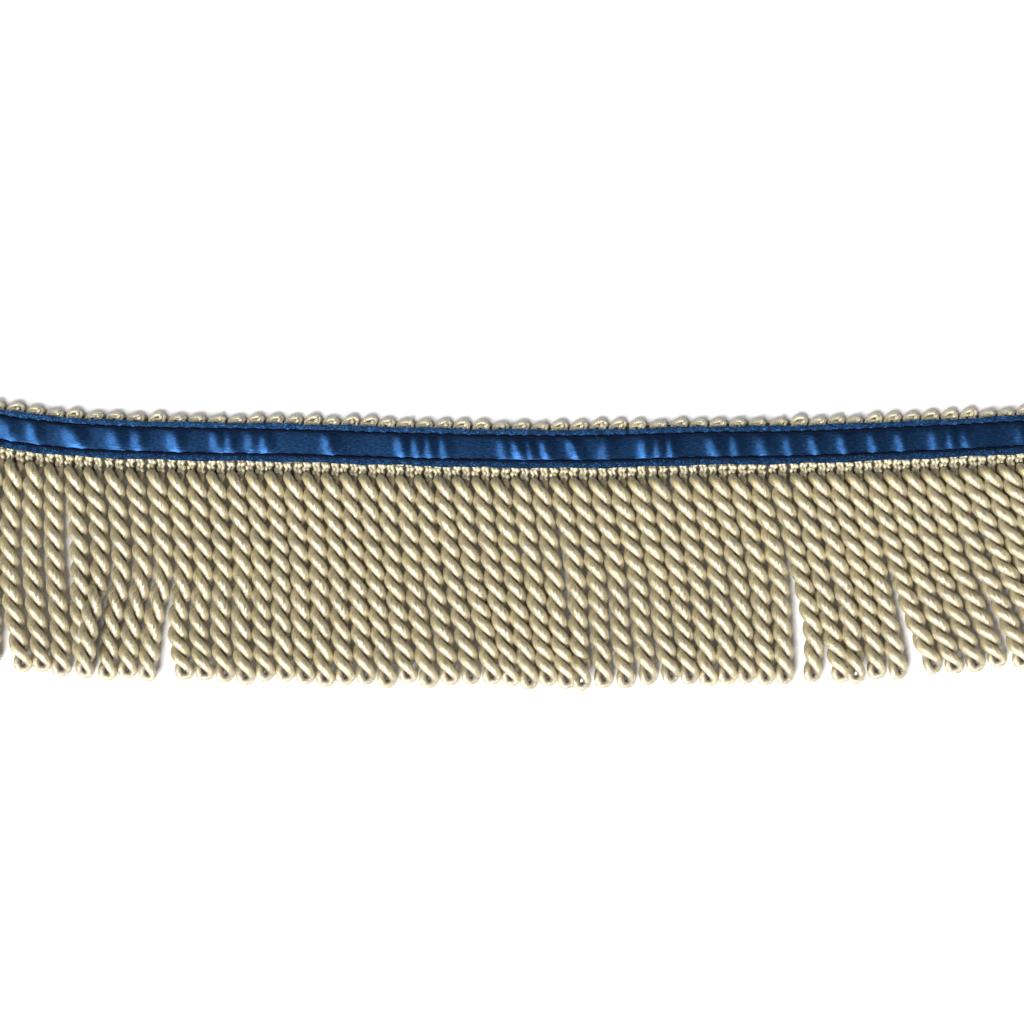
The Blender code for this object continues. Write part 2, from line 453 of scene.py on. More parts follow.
class RibbonSettings(bpy.types.PropertyGroup):
    width: FloatProperty(
        name="Width", description="Width of the ribbon as sewn", default=9.6 * MM,
        unit="LENGTH", precision=5,
    )
    thickness: FloatProperty(
        name="Thickness", description="Thickness of the satin", default=0.35 * MM,
        unit="LENGTH", precision=5,
    )
    satin: FloatVectorProperty(
        name="Satin", description="Colour of the satin", subtype="COLOR",
        default=(0.0175, 0.067, 0.185),
    )
    fleck: FloatVectorProperty(
        name="Flecks", description="Pale flecks of the woven edges", subtype="COLOR",
        default=(0.06, 0.235, 0.55),
    )


class StageSettings(bpy.types.PropertyGroup):
    across: FloatProperty(
        name="Frame width", description="Length of trim that the camera takes in", default=256 * MM,
        unit="LENGTH", precision=4,
    )
    lens: FloatProperty(name="Lens", description="Focal length in millimetres", default=100.0)
    floor: FloatVectorProperty(
        name="Floor", description="Colour of the floor", subtype="COLOR", default=(0.93, 0.93, 0.94)
    )


# ---------------------------------------------------------------- finishes

# Both yarns shine like rayon: a strong reflection from the fibres themselves, and no clear coat
YARN_SHINE = {"IOR": 2.2, "Specular_IOR_Level": 1.0, "Sheen_Roughness": 0.3}
WINDINGS = 420.0
# Painted shade: the brown that the yarn is multiplied by deep between the plies and in the eyes of the twist
PAINTED_CREVICE_SHADE = (0.17, 0.09, 0.03)
THREAD_DARK, THREAD_PALE = (0.002, 0.004, 0.012), (0.006, 0.01, 0.03)

# Distances from the ribbon's middle, in millimetres
WOVEN_EDGE = (3.0, 3.2)
# Where the painted shade darkens the satin towards the stitching, from its start to its full strength
SHADED_SIDE = (1.5, 3.1)


def cord_finish(settings):
    """Satin filaments wound round each ply, as fine uneven lines across it, and painted shade that darkens
    the yarn towards brown between the plies and in the eyes of the twist.
    """
    finish = Finish("bullion_cord", Sheen_Weight=0.45, **YARN_SHINE)
    along, around = finish.uv()
    winding = along * WINDINGS + around * 5.0
    stray = finish.noise(finish.vector(winding * 0.22, around * 3.0), 1.0, 1.0)
    wraps = ((winding + stray * 1.6) * (2 * math.pi)).math("SINE")
    fibre = finish.noise(finish.vector(winding * 0.8, around * 6.0), 1.0, 3.0, 0.65)
    patch = finish.noise(finish.place(), 160.0, 2.0)
    filament = finish.vector(along * 31.0 + around * 2.0, around * 13.0 - along * 203.0)
    speck = finish.noise(filament, 1.0, 2.0, 0.6)
    tone = fibre * 0.5 + speck * 1.0 + patch * 0.2 + wraps * 0.05 - 0.36
    yarn = settings.colour
    colour = finish.ramp(tone, (0.33, yarn * 0.5), (0.5, yarn), (0.67, yarn * 1.35))
    # Painted shade: towards the cord's middle the yarn is blended into a copy of itself darkened by the
    # painted crevice colour
    openness = finish.node("ShaderNodeAttribute", "Fac", {"attribute_name": "openness"})
    painted_crevice_shade = finish.blend(1.0, colour, rgba(PAINTED_CREVICE_SHADE), "MULTIPLY")
    finish.drive("Base Color", finish.blend(openness, painted_crevice_shade, colour))
    finish.drive("Roughness", 0.27 + fibre * 0.2)
    finish.bump(wraps * 0.3 + fibre * 1.2 + speck * 3.6, 0.07 * MM)
    return finish


def heading_finish(settings):
    """Soft satin yarn with its filaments along it."""
    finish = Finish("heading_yarn", Roughness=0.36, Sheen_Weight=0.5, **YARN_SHINE)
    along, around = finish.uv()
    fibre = finish.noise(finish.vector(along * 110.0, around * 7.0), 1.0, 3.0, 0.6)
    yarn = settings.colour
    finish.drive("Base Color", finish.ramp(fibre, (0.34, yarn * 0.5), (0.5, yarn), (0.66, yarn * 1.25)))
    finish.bump(fibre, 0.2 * MM)
    return finish


def band_painted_shade_finish(settings):
    """The close ground weave that shows only in the grooves between the columns, coloured almost black as
    painted shade of the grooves.
    """
    finish = Finish("heading_ground_painted_shade", Roughness=0.8)
    weave = finish.noise(finish.place(), 2600.0, 2.0)
    yarn = settings.colour
    # Painted shade: the ground takes the heading yarn's colour at a few hundredths of its strength, for the
    # shade deep in the grooves
    finish.drive("Base Color", finish.ramp(weave, (0.3, yarn * 0.04), (0.7, yarn * 0.14)))
    finish.bump(weave, 0.08 * MM)
    return finish


def satin_finish(settings):
    """Satin with fine lengthwise floats, painted shade beside the stitching and in long stretches along the
    length, and woven edges of pale flecks outside the stitching.
    """
    finish = Finish("satin_ribbon", Metallic=0.9, Specular_IOR_Level=0.3, Sheen_Weight=0.03)
    along, across = finish.uv()
    length = along * (TRIM_LENGTH / MM)
    aside = abs((across - 0.5) * (settings.width / MM))
    edge = aside.between(*WOVEN_EDGE)
    floats = finish.noise(finish.vector(length * 0.9, across * 27.0), 1.0, 3.0, 0.6)
    # Painted shade: the satin is darker towards the lines of stitching, where the ribbon is drawn down
    painted_stitch_shade = aside.between(*SHADED_SIDE)
    # Painted shade: long stretches along the ribbon are darker and lighter, for the shade of its gentle
    # undulations
    painted_stretch_shade = finish.noise(finish.vector(length * 0.11, 0.0), 1.0, 1.0)
    tone = floats * 0.65 + painted_stretch_shade * 0.35 - painted_stitch_shade * 0.09
    blue = settings.satin
    satin = finish.ramp(tone, (0.34, blue * 0.5), (0.5, blue * 0.95), (0.66, blue * 1.45))
    slanted = finish.vector((length + across * 6.0) * 3.4, across * 70.0)
    cells = finish.node("ShaderNodeTexVoronoi", "Color", sockets={"Vector": slanted, "Scale": 1.0})
    pick = finish.node("ShaderNodeSeparateXYZ", "X", sockets={"Vector": cells})
    flecks = finish.ramp(pick, (0.4, blue * 0.4), (0.75, blue * 0.8), (1.0, settings.fleck * 0.8))
    finish.drive("Base Color", finish.blend(edge, satin, flecks))
    finish.drive("Roughness", 0.2 + edge * 0.24 + floats * 0.26)
    finish.bump(floats * (1 - edge) + pick * edge * 0.7, 0.06 * MM)
    return finish


def thread_finish():
    """Dull sewing thread, darker than the satin."""
    finish = Finish("stitch_thread", Roughness=0.9, Specular_IOR_Level=0.05)
    fibre = finish.noise(finish.place(), 3000.0)
    finish.drive("Base Color", finish.ramp(fibre, (0.3, THREAD_DARK), (0.75, THREAD_PALE)))
    finish.bump(fibre, 0.03 * MM)
    return finish


def floor_finish(colour):
    """Plain matt paper."""
    finish = Finish("studio_floor", Roughness=0.9)
    paper = finish.noise(finish.place(), 900.0)
    finish.drive("Base Color", finish.ramp(paper, (0.3, Vector(colour) * 0.985), (0.7, Vector(colour))))
    return finish


# ---------------------------------------------------------------- cords

# The way of a cord's middle: its root inside the heading, its rise to its full height, and its sunken tip
ROOT_HEIGHT = 1.2 * MM
ROOT_START = 1.2 * MM
ROOT_RISE = 3.0 * MM
HIDDEN_ROOT = 1.3 * MM
TIP_SINK = 1.1 * MM
TIP_REACH = 3.6 * MM

# The twist, in radians, and how much the cords differ in it
HALF_TURNS = 9
TWIST_START = -1.2
START_SPREAD = (-0.2, 0.2)
END_SPREAD = (-0.35, 0.45)
DRIFT = (0.15, 0.4)
DRIFT_WAVE = 5.0

# A ply's fullness, as a share of its thickness: it swells out of the heading, wavers, and thins at the tip
ROOT_FULLNESS = 0.6
ROOT_SWELL = 1.6 * MM
WAVER = (0.96, 1.04)
WAVER_KNOTS = 8
TIP_THINNING = 0.17
THINNING_REACH = 3.5 * MM

# The loop at the tip: how the twist opens into it, and its shape
TIP_SPREAD = 0.22
SPREAD_REACH = 2.0 * MM
LOOP_POINTS = 9
LOOP_BULGE = 0.1
LOOP_LENGTH = 0.7
SOFTENED_POINTS = 3
SOFTENING_ROUNDS = 2

# Distance from a cord's middle, in twist radii, within which the plies get the full painted shade of the
# crevices, and past which they get none
PAINTED_SHADE_FULL_WITHIN = 0.5
PAINTED_SHADE_GONE_AT = 1.5


def centre_line(cord, share, settings):
    """Middle of a cord, which rises out of the heading and rests on the floor or on its neighbour."""
    resting = settings.twist_radius + settings.ply / 2
    way = max(share, 0.0)
    risen = ROOT_HEIGHT + (resting - ROOT_HEIGHT) * ease((share * CORD_LENGTH + ROOT_START) / ROOT_RISE)
    risen -= TIP_SINK * ease(1 + (way - 1) * CORD_LENGTH / TIP_REACH)
    return Vector((cord.line(way).x, cord.root_y - cord.depth * share, risen + cord.lift(way)))


def twist_of(rng):
    """How far the twist has turned at a share of its way, ending with the two plies side by side."""
    start = TWIST_START + rng.uniform(*START_SPREAD)
    total = (HALF_TURNS + 0.5) * math.pi - start + rng.uniform(*END_SPREAD)
    drift = rng.uniform(*DRIFT)
    drift_phase = rng.uniform(0, 2 * math.pi)

    def phase(way):
        # The drift comes in over the first quarter and goes out over the last fifth.
        uneven = drift * (math.sin(DRIFT_WAVE * way + drift_phase) - math.sin(drift_phase))
        return start + total * way + uneven * ease(way * 4) * (1 - ease(way * 5 - 4))

    return phase


def cord_strand(cord, settings, rng):
    """The one ply of a cord, as (point, fullness), and the cord's middle at each of its points.

    It goes down one side of the twist, round the loop at the tip and back up the other side.
    """
    phase = twist_of(rng)
    first = -HIDDEN_ROOT / CORD_LENGTH
    last = 1 - settings.loop / CORD_LENGTH
    shares = [first + (last - first) * i / (settings.steps - 1) for i in range(settings.steps)]
    waver = [(i / (WAVER_KNOTS - 1), rng.uniform(*WAVER)) for i in range(WAVER_KNOTS)]
    down, up, cores = [], [], []
    for share in shares:
        middle = centre_line(cord, share, settings)
        ahead = (centre_line(cord, share + LOOK_AHEAD, settings) - middle).normalized()
        side = Vector((-ahead.y, ahead.x, 0.0)).normalized()
        above = ahead.cross(side)
        angle = phase(max(share / last, 0.0))
        to_loop = (last - share) * CORD_LENGTH
        spread = 1 + TIP_SPREAD * ease(1 - to_loop / SPREAD_REACH)
        spoke = (side * math.sin(angle) + above * math.cos(angle)) * settings.twist_radius * spread
        swollen = ease((share - first) * CORD_LENGTH / ROOT_SWELL)
        full = ROOT_FULLNESS + (1 - ROOT_FULLNESS) * swollen
        full *= 1 - TIP_THINNING * ease(1 - to_loop / THINNING_REACH)
        full *= smooth(waver, max(share, 0.0))
        down.append((middle + spoke, full))
        up.append((middle - spoke, full))
        cores.append(middle)
    loop = []
    for i in range(1, LOOP_POINTS + 1):
        turn = math.pi * i / (LOOP_POINTS + 1)
        bulge = 1 + LOOP_BULGE * math.sin(turn)
        reach = ahead * settings.loop * math.sin(turn) * LOOP_LENGTH
        loop.append((middle + spoke * math.cos(turn) * bulge + reach, full))
    strand = down + loop + up[::-1]
    start = len(down) - SOFTENED_POINTS
    return soften(strand, start, len(down) + LOOP_POINTS + SOFTENED_POINTS), cores


def soften(strand, start, end):
    """Rounds off a stretch of a strand, such as where a ply runs into its loop."""
    points = [point for point, _ in strand]
    for _ in range(SOFTENING_ROUNDS):
        eased = list(points)
        for i in range(start, end):
            eased[i] = points[i] * 0.5 + (points[i - 1] + points[i + 1]) * 0.25
        points = eased
    return [(point, full) for point, (_, full) in zip(points, strand)]


def mark_painted_shade(piece, cores, settings):
    """Marks each point with how far out it lies from its cord's middle, for the painted shade of the
    crevices: 0 between the plies, where the shade is full, 1 outside, where there is none.
    """
    tree = KDTree(len(cores))
    for i, core in enumerate(cores):
        tree.insert(core, i)
    tree.balance()
    mesh = piece.data
    out = mesh.attributes.new("openness", "FLOAT", "POINT")
    near, far = PAINTED_SHADE_FULL_WITHIN * settings.twist_radius, PAINTED_SHADE_GONE_AT * settings.twist_radius
    for vertex in mesh.vertices:
        _, _, distance = tree.find(vertex.co)
        out.data[vertex.index].value = ease((distance - near) / (far - near))


class FRINGE_OT_cords(bpy.types.Operator):
    """Make the skirt of twisted cords, each one ply laid double and looped at its tip"""

    bl_idname = "fringe.cords"
    bl_label = "Make Twisted Cords"

    def execute(self, context):
        settings = context.scene.fringe_cords
        finish = cord_finish(settings)
        rng = random.Random(SEED + 1)
        laid = [cord_strand(cord, settings, rng) for cord in lay_cords()]
        share = math.ceil(len(laid) / settings.groups)
        for group in range(settings.groups):
            chosen = laid[group * share : (group + 1) * share]
            strands = [strand for strand, _ in chosen]
            piece = spun(f"bullion_cords_{group + 1}", strands, settings.ply, 3)
            mark_painted_shade(piece, [core for _, cores in chosen for core in cores], settings)
            rest_on_floor(piece)
            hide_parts("bullion_skirt")
            finish_piece(piece, finish)
        return {"FINISHED"}


# ---------------------------------------------------------------- heading

RIBBON_HALF = 4.8 * MM
HEADING_MIDDLE = 1.0 * MM
DEPTH_STRETCH = 1.75

# Each cord has a left and a right column of two strands. The steps down them are wide under the ribbon.
VISIBLE_STEP = 0.3 * MM
HIDDEN_STEP = 0.8 * MM
HIDDEN_INSET = 0.5 * MM
COLUMN_TOP = HEADING_ABOVE - 0.3 * MM
COLUMN_OFFSET = 1.215 * MM
STRAND_OFFSET = 0.46 * MM
FOOT_TAPER = 1.3 * MM
FOOT_FULLNESS = 0.4
RIGHT_LEAN = 0.4 * MM
FULL_TURN = 6.28

# The waves of a strand: to its sides, up and down, and in its fullness
Wave = namedtuple("Wave", "height length")
SIDE_WAVE = Wave(0.2 * MM, 2.1 * MM)
HEIGHT_WAVE = Wave(0.12 * MM, 1.4 * MM)
FULLNESS_WAVE = Wave(0.07, 0.85 * MM)

# The bead below the ribbon and the narrow place under it, on one strand of each column
Bead = namedtuple("Bead", "place width fullness")
BEADS = (Bead(-5.35 * MM, 0.38 * MM, 0.22), Bead(-6.05 * MM, 0.22 * MM, -0.4))

# How the feet of the columns and the skew of the scallops differ, in millimetres
LEFT_FOOT = (-0.15, 0.25)
RIGHT_FOOT = (1.3, 1.8)
SKEW = (0.3, 1.0)

# The two strands of a scallop: where their columns are, how much wider they bend, how far their crests reach
# in millimetres, their share of the skew, how high they lie, and their fullness
Arc = namedtuple("Arc", "spread wider crest skew level fullness")
OUTER_ARC = Arc(COLUMN_OFFSET + STRAND_OFFSET, 0.1 * MM, (0.7, 1.6), 1.0, 1.0 * MM, 0.95)
INNER_ARC = Arc(COLUMN_OFFSET - STRAND_OFFSET, 0.2 * MM, (-0.1, 0.4), -0.5, 1.25 * MM, 0.85)

# The shape of a scallop: steps along it, and how steeply its left and its right side climb
ARCH_STEPS = 14
LEFT_CLIMB = 1.1
RIGHT_CLIMB = 0.55
SCALLOP_FLATTENING = 0.2
FLATTENED_OVER = 1.2 * MM

# The short yarn that ties a scallop's strands: where it starts and how far it goes, in millimetres
TIE_START = ((0.1, 0.6), (-0.2, 0.1))
TIE_REACH = ((0.2, 0.9), (0.9, 1.4))
TIE_ASIDE = 0.5 * MM
TIE_STEPS = 5
TIE_LEVEL, TIE_RISE = 0.15 * MM, 0.35 * MM
TIE_FULLNESS, TIE_SWELL = 0.6, 0.3

# The ground band, which runs on a little past the columns
BAND_ABOVE = 0.2 * MM
BAND_BELOW = 0.9 * MM
BAND_THICKNESS = 0.6 * MM
BAND_GRID = (140, 6)


def bump_at(y, middle, width):
    """A soft bump of height one at a place down a column."""
    return math.exp(-(((y - middle) / width) ** 2))


def down_steps(start, end):
    """Places down a column, close together only where the ribbon leaves it in sight."""
    places = []
    y = start
    hidden = RIBBON_HALF - HIDDEN_INSET
    while y > end:
        places.append(y)
        y -= HIDDEN_STEP if -hidden < y < hidden else VISIBLE_STEP
    return places + [end]


def column(cord, across, bottom, lean, beaded, sway):
    """One strand down a column, as (point, fullness) from its top to its tapering foot."""
    strand = []
    for y in down_steps(COLUMN_TOP, bottom):
        foot = ease((y - bottom) / FOOT_TAPER)
        wave = SIDE_WAVE.height * math.sin(2 * math.pi * y / SIDE_WAVE.length + sway)
        x = cord.root_x + across + wave + lean * (1 - foot)
        thicker = math.sin(2 * math.pi * y / FULLNESS_WAVE.length + 2 * sway)
        fullness = 1 - FULLNESS_WAVE.height + FULLNESS_WAVE.height * thicker
        if beaded:
            fullness += sum(bead.fullness * bump_at(y, bead.place, bead.width) for bead in BEADS)
        raised = math.cos(2 * math.pi * y / HEIGHT_WAVE.length + sway + across / MM)
        height = HEADING_MIDDLE + HEIGHT_WAVE.height * raised
        fullness *= FOOT_FULLNESS + (1 - FOOT_FULLNESS) * foot
        strand.append((Vector((x, centre_y(x) + y, height)), fullness))
    return strand


def scallop(cord, arc, crest, skew):
    """The bend of a strand from the top of its left column, low at first, to the top of its right one."""
    bend = []
    for i in range(1, ARCH_STEPS):
        turn = math.pi * i / ARCH_STEPS
        climb = LEFT_CLIMB if turn < math.pi / 2 else RIGHT_CLIMB
        x = cord.root_x - (arc.spread + arc.wider) * math.cos(turn) + arc.skew * skew * math.sin(turn)
        y = COLUMN_TOP + (crest - COLUMN_TOP) * math.sin(turn) ** climb
        z = HEADING_MIDDLE + (arc.level - HEADING_MIDDLE) / DEPTH_STRETCH * math.sin(turn)
        bend.append((Vector((x, centre_y(x) + y, z)), arc.fullness))
    return bend


def yarn_loops(cord, rng):
    """The strands of a cord's heading: each comes up its left column, over the scallop and down its right."""
    left_sway, right_sway = rng.uniform(0, FULL_TURN), rng.uniform(0, FULL_TURN)
    left_foot = -HEADING_BELOW + rng.uniform(*LEFT_FOOT) * MM
    right_foot = -HEADING_BELOW - rng.uniform(*RIGHT_FOOT) * MM
    skew = rng.uniform(*SKEW) * MM
    loops = []
    for arc in (OUTER_ARC, INNER_ARC):
        inner = arc is INNER_ARC
        up = column(cord, -arc.spread, left_foot, 0.0, inner, left_sway)[::-1]
        down = column(cord, arc.spread, right_foot, RIGHT_LEAN, not inner, right_sway)
        crest = HEADING_ABOVE + rng.uniform(*arc.crest) * MM
        loops.append(up + scallop(cord, arc, crest, skew) + down)
    loops.append(crossing(cord, rng))
    return loops


def crossing(cord, rng):
    """The short slanting yarn that ties a scallop's two strands on its right-hand side."""
    start = Vector([rng.uniform(*limits) for limits in TIE_START]) * MM
    end = start + Vector([rng.uniform(*limits) for limits in TIE_REACH]) * MM
    tie = []
    for i in range(TIE_STEPS + 1):
        share = i / TIE_STEPS
        arch = math.sin(math.pi * share)
        across, up = start.lerp(end, share)
        x = cord.root_x + across + TIE_ASIDE
        point = Vector((x, centre_y(x) + HEADING_ABOVE + up, HEADING_MIDDLE + TIE_LEVEL + TIE_RISE * arch))
        tie.append((point, TIE_FULLNESS + TIE_SWELL * arch))
    return tie


class FRINGE_OT_heading(bpy.types.Operator):
    """Make the heading: its ground band and the looped yarns that cover both of its sides"""

    bl_idname = "fringe.heading"
    bl_label = "Make Woven Heading"

    def execute(self, context):
        settings = context.scene.fringe_heading
        rng = random.Random(SEED + 2)
        strands = [loop for cord in lay_cords() for loop in yarn_loops(cord, rng)]
        yarns = spun("heading_yarns", strands, settings.strand, 2)
        self.flatten(yarns)
        rest_on_floor(yarns)
        finish_piece(yarns, heading_finish(settings))
        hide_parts("heading")
        band = self.make_band()
        finish_piece(band, band_painted_shade_finish(settings))
        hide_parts("heading")
        return {"FINISHED"}

    @staticmethod
    def flatten(yarns):
        """Stretches the yarns to the heading's full depth, less so in the scallops."""
        for vertex in yarns.data.vertices:
            beyond = vertex.co.y - centre_y(vertex.co.x) - RIBBON_HALF
            vertex.co.z = HEADING_MIDDLE + (vertex.co.z - HEADING_MIDDLE) * DEPTH_STRETCH
            vertex.co.z *= 1 - SCALLOP_FLATTENING * ease(beyond / FLATTENED_OVER)

    @staticmethod
    def make_band():
        """The thin ground that the columns are woven on."""
        deselect_all()
        columns, rows = BAND_GRID
        bpy.ops.mesh.primitive_grid_add(x_subdivisions=columns, y_subdivisions=rows, size=1.0)
        band = bpy.context.active_object
        band.name = "heading_band"
        low, high = -HEADING_BELOW - BAND_BELOW, HEADING_ABOVE + BAND_ABOVE
        for vertex in band.data.vertices:
            x = LEFT_END + (vertex.co.x + 0.5) * TRIM_LENGTH
            y = centre_y(x) + low + (vertex.co.y + 0.5) * (high - low)
            vertex.co = (x, y, HEADING_MIDDLE)
        thicken(band, BAND_THICKNESS, 0.0)
        return band


# ---------------------------------------------------------------- ribbon

# Soft ridges that cross the ribbon where the sewing draws it in: place of the ridge's left slope along the
# trim, width, height, and how far the ridge leans to the right from its top to its bottom
Pucker = namedtuple("Pucker", "place width height lean")
PUCKERS = (
    Pucker(-126.5, 4.0, 0.30, 0.5),
    Pucker(-119.8, 3.0, 0.30, 0.3),
    Pucker(-110.0, 4.5, 0.45, 0.8),
    Pucker(-99.5, 3.5, 0.35, 0.0),
    Pucker(-93.8, 3.0, 0.35, -0.6),
    Pucker(-84.5, 3.2, 0.42, 0.0),
    Pucker(-74.2, 2.8, 0.30, 0.4),
    Pucker(-71.0, 2.6, 0.35, -0.6),
    Pucker(-65.5, 2.8, 0.30, -0.6),
    Pucker(-62.2, 3.0, 0.40, 0.0),
    Pucker(-46.2, 3.0, 0.35, 0.0),
    Pucker(-28.0, 2.6, 0.40, 0.0),
    Pucker(-24.2, 2.6, 0.35, 0.3),
    Pucker(-21.0, 2.4, 0.35, 0.0),
    Pucker(-17.2, 2.6, 0.30, 0.3),
    Pucker(-2.5, 2.6, 0.32, 0.3),
    Pucker(0.9, 3.0, 0.50, 1.6),
    Pucker(4.2, 2.4, 0.38, 1.2),
    Pucker(8.0, 2.8, 0.42, 1.0),
    Pucker(15.2, 2.8, 0.50, 1.5),
    Pucker(23.2, 3.2, 0.40, -2.0),
    Pucker(32.8, 2.8, 0.45, -0.6),
    Pucker(36.2, 2.4, 0.40, 0.0),
    Pucker(39.4, 2.6, 0.42, 0.4),
    Pucker(50.0, 3.4, 0.42, 0.6),
    Pucker(55.6, 2.6, 0.32, 0.4),
    Pucker(62.5, 3.6, 0.40, 0.0),
    Pucker(69.0, 2.6, 0.32, 0.4),
    Pucker(75.4, 3.0, 0.45, 0.6),
    Pucker(82.6, 3.0, 0.45, 0.5),
    Pucker(90.2, 3.0, 0.40, 0.4),
    Pucker(97.0, 3.2, 0.45, 0.0),
    Pucker(105.4, 3.0, 0.42, 0.0),
    Pucker(109.4, 2.6, 0.38, 0.5),
    Pucker(112.9, 3.4, 0.45, 1.0),
    Pucker(127.0, 3.0, 0.30, 0.0),
)

# A ridge beside its left slope, as shares of its width and its height, and how many widths it fades out over
RIDGE_SHIFT = 0.25
RIDGE_WIDTH = 0.56
RIDGE_HEIGHT = 1.35
RIDGE_END = 3

RIBBON_GRID = (640, 22)
STITCH_LINE = 3.05 * MM
RIBBON_BED = 2.12 * MM

# Between the lines of stitching: how full the ribbon is, and how squarely it rises from them
PILLOW = 0.08 * MM
SQUARENESS = 0.4

# Outside them: how high the edge curls, over what width, and how much of a half turn it makes
EDGE_RISE = 0.16 * MM
EDGE_WIDTH = 1.75
EDGE_CURL = 0.6

# Waves along the edges, up and down and to the side: their size, and their turn for each millimetre
Ripple = namedtuple("Ripple", "size rate")
SHORT_RIPPLE, LONG_RIPPLE = Ripple(0.06 * MM, 2.1), Ripple(0.05 * MM, 0.83)
SHORT_STRAY, LONG_STRAY = Ripple(0.07 * MM, 0.93), Ripple(0.12 * MM, 0.31)
UPPER_START, LOWER_START = 1.3, 4.0

# The stitches of both lines, in millimetres
STITCH_LENGTH = (3.1, 3.6)
STITCH_STRAY = (-0.06, 0.06)
STITCH_GAP = 0.12
STITCH_SUNK = 0.12
STITCH_ARCH = 0.24
FIRST_STITCH = 0.6
STITCH_STEPS = 7
THREAD_THICKNESS = 0.78 * MM
THREAD_FULLNESS, THREAD_SWELL = 0.8, 0.2


def pucker_height(x, aside):
    """How much the puckers raise the ribbon's middle at a place along the trim."""
    rise = 0.0
    for pucker in PUCKERS:
        middle = pucker.place + RIDGE_SHIFT * pucker.width - pucker.lean * aside / (2 * STITCH_LINE)
        offset = (x / MM - middle) / (pucker.width * RIDGE_WIDTH)
        if abs(offset) < RIDGE_END:
            rise += RIDGE_HEIGHT * pucker.height * math.exp(-offset * offset)
    return rise * MM


def ribbon_top(x, aside):
    """Height of the ribbon's underside: held down along the stitching, puckered and a little full between."""
    if abs(aside) < STITCH_LINE:
        full = (0.5 + 0.5 * math.cos(math.pi * aside / STITCH_LINE)) ** SQUARENESS
        return RIBBON_BED + PILLOW * full + pucker_height(x, aside) * full
    beyond = (abs(aside) - STITCH_LINE) / MM
    rise = EDGE_RISE + SHORT_RIPPLE.size * math.sin(x / MM * SHORT_RIPPLE.rate)
    rise += LONG_RIPPLE.size * math.sin(x / MM * LONG_RIPPLE.rate + aside / MM)
    return RIBBON_BED + rise * math.sin(min(beyond / EDGE_WIDTH, 1.0) * math.pi * EDGE_CURL)


def edge_wander(x, upper):
    """How far the ribbon's edge strays from straight."""
    start = UPPER_START if upper else LOWER_START
    long_wave = LONG_STRAY.size * math.sin(x / MM * LONG_STRAY.rate + start)
    return long_wave + SHORT_STRAY.size * math.sin(x / MM * SHORT_STRAY.rate + 2 * start)


class FRINGE_OT_ribbon(bpy.types.Operator):
    """Make the satin ribbon, drawn into puckers by the two lines of stitching that hold it"""

    bl_idname = "fringe.ribbon"
    bl_label = "Make Satin Ribbon"

    def execute(self, context):
        settings = context.scene.fringe_ribbon
        deselect_all()
        columns, rows = RIBBON_GRID
        bpy.ops.mesh.primitive_grid_add(x_subdivisions=columns, y_subdivisions=rows, size=1.0)
        ribbon = bpy.context.active_object
        ribbon.name = "satin_ribbon"
        for vertex in ribbon.data.vertices:
            x = LEFT_END + (vertex.co.x + 0.5) * TRIM_LENGTH
            aside = vertex.co.y * settings.width
            wander = edge_wander(x, aside > 0) * abs(2 * vertex.co.y) ** 3
            vertex.co = (x, centre_y(x) + aside + wander, ribbon_top(x, aside))
        thicken(ribbon, settings.thickness, 1.0)
        bpy.ops.object.shade_smooth_by_angle(angle=math.radians(50))
        finish_piece(ribbon, satin_finish(settings))
        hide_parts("ribbon")
        stitches = self.make_stitches(settings)
        finish_piece(stitches, thread_finish())
        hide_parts("ribbon")
        return {"FINISHED"}

    @staticmethod
    def make_stitches(settings):
        """Two lines of dark thread, each stitch sunk into the satin at its ends."""
        rng = random.Random(SEED + 3)
        strands = []
        for line in (-STITCH_LINE, STITCH_LINE):
            x = LEFT_END + FIRST_STITCH * MM
            while x < RIGHT_END - STITCH_LENGTH[1] * MM:
                length = rng.uniform(*STITCH_LENGTH) * MM
                stray = rng.uniform(*STITCH_STRAY) * MM
                strand = []
                for i in range(STITCH_STEPS + 1):
                    share = i / STITCH_STEPS
                    arch = math.sin(math.pi * share)
                    at = x + share * length
                    y = centre_y(at) + line + stray
                    sunk = ribbon_top(at, line) + settings.thickness
                    z = sunk - STITCH_SUNK * MM + STITCH_ARCH * MM * arch**0.5
                    strand.append((Vector((at, y, z)), THREAD_FULLNESS + THREAD_SWELL * arch))
                strands.append(strand)
                x += length + STITCH_GAP * MM
        return spun("ribbon_stitches", strands, THREAD_THICKNESS, 1)


# ---------------------------------------------------------------- stage

FRAME_CENTRE_Y = -15.75 * MM
CORD_LEVEL = 2.5 * MM
FLOOR_SIZE = 4.0
AIR_COLOUR = (0.97, 0.96, 1.0)
AIR_STRENGTH = 0.11

# Far lights: the direction that each stands in, its strength, its softness in degrees and its colour
Lamp = namedtuple("Lamp", "name place strength softness colour")
LAMPS = (
    Lamp("key_light", (-0.3, -0.67, 0.68), 5.3, 36.0, (1.0, 0.995, 0.985)),
    Lamp("left_light", (-0.5, 0.0, 0.87), 0.8, 14.0, (1.0, 0.995, 0.985)),
    Lamp("right_light", (0.85, 0.1, 0.4), 0.3, 40.0, (1.0, 0.99, 0.98)),
)


